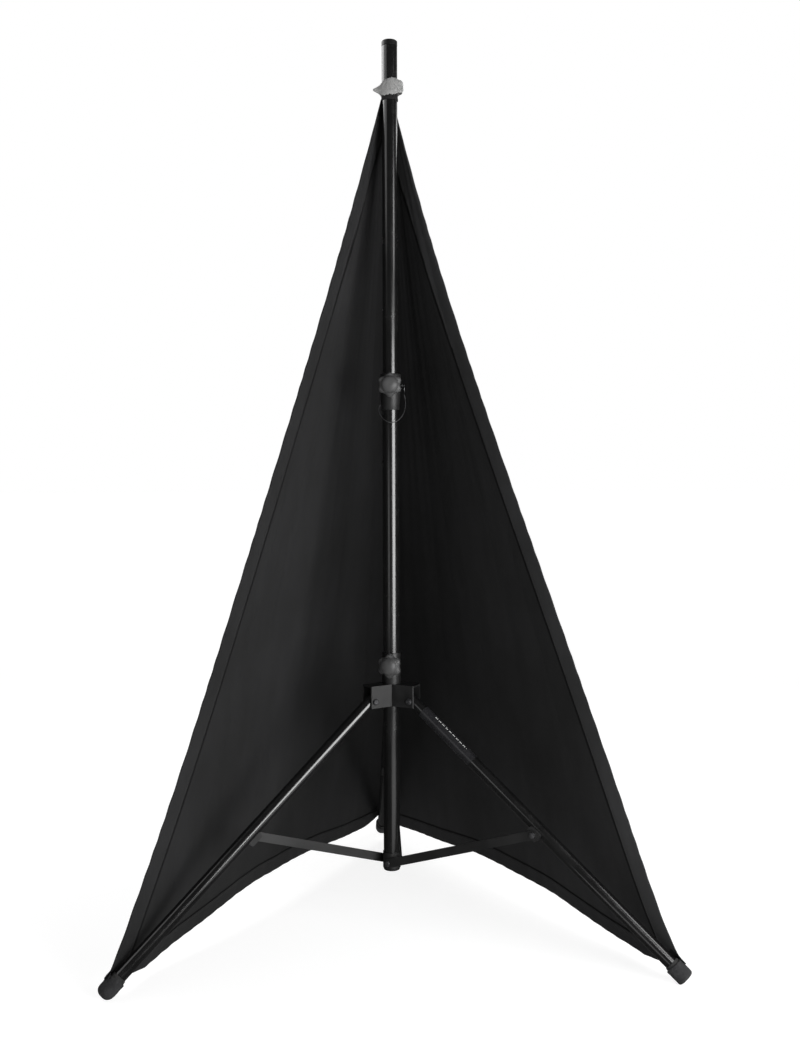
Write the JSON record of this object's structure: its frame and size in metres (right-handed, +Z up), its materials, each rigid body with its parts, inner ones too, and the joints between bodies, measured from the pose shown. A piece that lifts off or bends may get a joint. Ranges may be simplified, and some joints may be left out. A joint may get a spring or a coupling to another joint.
{
  "type": "tripod pole stand with fabric cover",
  "caption": "Black tripod pole stand with a telescopic pole, folding braced legs and a stretch fabric cover on its rear sides",
  "frame": {"origin": "centre of the bounding box at floor level; the pole axis is at X = 0, Y = -0.170025 m", "axes": "+Z up along the pole; +Y towards the back leg; the open side with the two front legs faces -Y; X is left to right"},
  "size_m": [1.2166, 1.0587, 2.039],
  "materials": {
    "black_powder_coat": "glossy black powder coat",
    "black_moulded_plastic": "satin black moulded nylon",
    "zinc_plated_steel": "zinc plated steel",
    "black_oxide_steel": "black oxide steel bolts and rivets",
    "black_rubber": "matte black rubber",
    "black_stretch_knit": "matte black stretch knit",
    "foot_pocket_fabric": "dark grey reinforced fabric",
    "grey_hook_and_loop": "light grey hook and loop band",
    "leg_label_film": "dark printed film, left blank"
  },
  "bodies": {
    "pole_lower": {"outer_tube": "black_powder_coat", "clamp_collar": "black_moulded_plastic", "base_collar": "black_powder_coat", "bottom_plug": "black_moulded_plastic", "base_bolt_left": "black_oxide_steel", "base_bolt_right": "black_oxide_steel", "base_bolt_back": "black_oxide_steel", "tether": "zinc_plated_steel"},
    "pole_upper": {"inner_tube": "black_powder_coat", "top_cap": "black_moulded_plastic", "cover_strap": "grey_hook_and_loop", "cover_neck": "black_stretch_knit"},
    "leg_collar": {"leg_collar": "black_moulded_plastic", "leg_bolt_left": "black_oxide_steel", "leg_bolt_right": "black_oxide_steel", "leg_bolt_back": "black_oxide_steel"},
    "clamp_knob": {"clamp_knob": "black_moulded_plastic", "clamp_stud": "zinc_plated_steel"},
    "collar_knob": {"collar_knob": "black_moulded_plastic", "collar_stud": "zinc_plated_steel"},
    "safety_pin": {"safety_pin": "zinc_plated_steel"},
    "leg_left": {"leg_tube_left": "black_powder_coat", "foot_left": "black_rubber", "foot_pocket_left": "foot_pocket_fabric", "brace_saddle_left": "black_moulded_plastic"},
    "brace_left": {"brace_bar_left": "black_powder_coat", "brace_rivet_left": "black_oxide_steel"},
    "leg_right": {"leg_tube_right": "black_powder_coat", "foot_right": "black_rubber", "foot_pocket_right": "foot_pocket_fabric", "brace_saddle_right": "black_moulded_plastic", "leg_label": "leg_label_film"},
    "brace_right": {"brace_bar_right": "black_powder_coat", "brace_rivet_right": "black_oxide_steel"},
    "leg_back": {"leg_tube_back": "black_powder_coat", "foot_back": "black_rubber", "foot_pocket_back": "foot_pocket_fabric", "brace_saddle_back": "black_moulded_plastic"},
    "brace_back": {"brace_bar_back": "black_powder_coat", "brace_rivet_back": "black_oxide_steel"},
    "cover_left_1": {"cover_left_1": "black_stretch_knit"},
    "cover_left_2": {"cover_left_2": "black_stretch_knit"},
    "cover_left_3": {"cover_left_3": "black_stretch_knit"},
    "cover_left_4": {"cover_left_4": "black_stretch_knit"},
    "cover_left_5": {"cover_left_5": "black_stretch_knit"},
    "cover_left_6": {"cover_left_6": "black_stretch_knit"},
    "cover_right_1": {"cover_right_1": "black_stretch_knit"},
    "cover_right_2": {"cover_right_2": "black_stretch_knit"},
    "cover_right_3": {"cover_right_3": "black_stretch_knit"},
    "cover_right_4": {"cover_right_4": "black_stretch_knit"},
    "cover_right_5": {"cover_right_5": "black_stretch_knit"},
    "cover_right_6": {"cover_right_6": "black_stretch_knit"}
  },
  "joints": [
    {"name": "pole_slide", "type": "slide", "parent": "pole_lower", "child": "pole_upper", "axis": [0, 0, 1], "range_m": [-0.6, 0], "deforming": ["cover_left_1", "cover_left_2", "cover_left_3", "cover_left_4", "cover_left_5", "cover_left_6", "cover_right_1", "cover_right_2", "cover_right_3", "cover_right_4", "cover_right_5", "cover_right_6"]},
    {"name": "collar_slide", "type": "slide", "parent": "pole_lower", "child": "leg_collar", "axis": [0, 0, 1], "range_m": [0, 0.3899]},
    {"name": "leg_fold_left", "type": "hinge", "parent": "leg_collar", "child": "leg_left", "pos_m": [-0.04763, -0.19753, 0.536], "axis": [0.5, -0.866, 0], "range_deg": [0, 50.4]},
    {"name": "leg_fold_right", "type": "hinge", "parent": "leg_collar", "child": "leg_right", "pos_m": [0.04763, -0.19753, 0.536], "axis": [0.5, 0.866, 0], "range_deg": [0, 50.4]},
    {"name": "leg_fold_back", "type": "hinge", "parent": "leg_collar", "child": "leg_back", "pos_m": [0, -0.11503, 0.536], "axis": [-1, 0, 0], "range_deg": [0, 50.4]},
    {"name": "brace_fold_left", "type": "hinge", "parent": "pole_lower", "child": "brace_left", "pos_m": [0, -0.17003, 0.152], "axis": [-0.5, 0.866, 0], "range_deg": [0, 65.01]},
    {"name": "brace_fold_right", "type": "hinge", "parent": "pole_lower", "child": "brace_right", "pos_m": [0, -0.17003, 0.152], "axis": [-0.5, -0.866, 0], "range_deg": [0, 65.01]},
    {"name": "brace_fold_back", "type": "hinge", "parent": "pole_lower", "child": "brace_back", "pos_m": [0, -0.17003, 0.152], "axis": [1, 0, 0], "range_deg": [0, 65.01]},
    {"name": "clamp_knob_turn", "type": "hinge", "parent": "pole_lower", "child": "clamp_knob", "pos_m": [-0.00255, -0.20644, 1.259], "axis": [-0.0698, -0.9976, 0], "range_deg": [0, 540]},
    {"name": "collar_knob_turn", "type": "hinge", "parent": "leg_collar", "child": "collar_knob", "pos_m": [-0.00309, -0.20774, 0.619], "axis": [-0.342, -0.9397, 0], "range_deg": [0, 540]},
    {"name": "pin_pull", "type": "slide", "parent": "pole_lower", "child": "safety_pin", "axis": [0.9994, -0.0349, 0], "range_m": [0, 0.03]},
    {"name": "cover_gather_left_1", "type": "hinge", "parent": "pole_lower", "child": "cover_left_1", "pos_m": [-0.48244, -0.38472, 1.97775], "axis": [0.5512, -0.8344, 0], "range_deg": [0, 15.52]},
    {"name": "cover_gather_left_2", "type": "hinge", "parent": "pole_lower", "child": "cover_left_2", "pos_m": [-0.40024, -0.23354, 1.94344], "axis": [0.4116, -0.9114, 0], "range_deg": [0, 10.57]},
    {"name": "cover_gather_left_3", "type": "hinge", "parent": "pole_lower", "child": "cover_left_3", "pos_m": [-0.22649, -0.09853, 1.92336], "axis": [-0.1222, -0.9925, 0], "range_deg": [0, 7.5]},
    {"name": "cover_gather_left_4", "type": "hinge", "parent": "pole_lower", "child": "cover_left_4", "pos_m": [-0.15012, -0.0462, 1.92011], "axis": [-0.803, -0.5959, 0], "range_deg": [0, 7.34]},
    {"name": "cover_gather_left_5", "type": "hinge", "parent": "pole_lower", "child": "cover_left_5", "pos_m": [-0.13334, 0.1089, 1.93482], "axis": [-0.9932, -0.1166, 0], "range_deg": [0, 10.78]},
    {"name": "cover_gather_left_6", "type": "hinge", "parent": "pole_lower", "child": "cover_left_6", "pos_m": [-0.06479, 0.24577, 1.963], "axis": [-0.9976, 0.0689, 0], "range_deg": [0, 15.67]},
    {"name": "cover_gather_right_1", "type": "hinge", "parent": "pole_lower", "child": "cover_right_1", "pos_m": [0.48264, -0.38485, 1.9803], "axis": [0.5512, 0.8344, 0], "range_deg": [0, 15.5]},
    {"name": "cover_gather_right_2", "type": "hinge", "parent": "pole_lower", "child": "cover_right_2", "pos_m": [0.40032, -0.23358, 1.94494], "axis": [0.4116, 0.9114, 0], "range_deg": [0, 10.56]},
    {"name": "cover_gather_right_3", "type": "hinge", "parent": "pole_lower", "child": "cover_right_3", "pos_m": [0.22649, -0.09853, 1.92406], "axis": [-0.1222, 0.9925, 0], "range_deg": [0, 7.5]},
    {"name": "cover_gather_right_4", "type": "hinge", "parent": "pole_lower", "child": "cover_right_4", "pos_m": [0.15012, -0.0462, 1.92005], "axis": [-0.803, 0.5959, 0], "range_deg": [0, 7.34]},
    {"name": "cover_gather_right_5", "type": "hinge", "parent": "pole_lower", "child": "cover_right_5", "pos_m": [0.13334, 0.1089, 1.93462], "axis": [-0.9932, 0.1166, 0], "range_deg": [0, 10.78]},
    {"name": "cover_gather_right_6", "type": "hinge", "parent": "pole_lower", "child": "cover_right_6", "pos_m": [0.06479, 0.24577, 1.96293], "axis": [-0.9976, -0.0689, 0], "range_deg": [0, 15.67]}
  ],
  "couplings": [
    {"joint": "leg_fold_left", "follows": "collar_slide", "rad_per_m": 2.2538},
    {"joint": "leg_fold_right", "follows": "collar_slide", "rad_per_m": 2.2538},
    {"joint": "leg_fold_back", "follows": "collar_slide", "rad_per_m": 2.2538},
    {"joint": "brace_fold_left", "follows": "collar_slide", "rad_per_m": 2.9079},
    {"joint": "brace_fold_right", "follows": "collar_slide", "rad_per_m": 2.9079},
    {"joint": "brace_fold_back", "follows": "collar_slide", "rad_per_m": 2.9079},
    {"joint": "cover_gather_left_1", "follows": "collar_slide", "rad_per_m": 0.69252},
    {"joint": "cover_gather_left_2", "follows": "collar_slide", "rad_per_m": 0.47103},
    {"joint": "cover_gather_left_3", "follows": "collar_slide", "rad_per_m": 0.33337},
    {"joint": "cover_gather_left_4", "follows": "collar_slide", "rad_per_m": 0.32615},
    {"joint": "cover_gather_left_5", "follows": "collar_slide", "rad_per_m": 0.48035},
    {"joint": "cover_gather_left_6", "follows": "collar_slide", "rad_per_m": 0.69914},
    {"joint": "cover_gather_right_1", "follows": "collar_slide", "rad_per_m": 0.69163},
    {"joint": "cover_gather_right_2", "follows": "collar_slide", "rad_per_m": 0.47066},
    {"joint": "cover_gather_right_3", "follows": "collar_slide", "rad_per_m": 0.33325},
    {"joint": "cover_gather_right_4", "follows": "collar_slide", "rad_per_m": 0.32616},
    {"joint": "cover_gather_right_5", "follows": "collar_slide", "rad_per_m": 0.4804},
    {"joint": "cover_gather_right_6", "follows": "collar_slide", "rad_per_m": 0.69916}
  ]
}
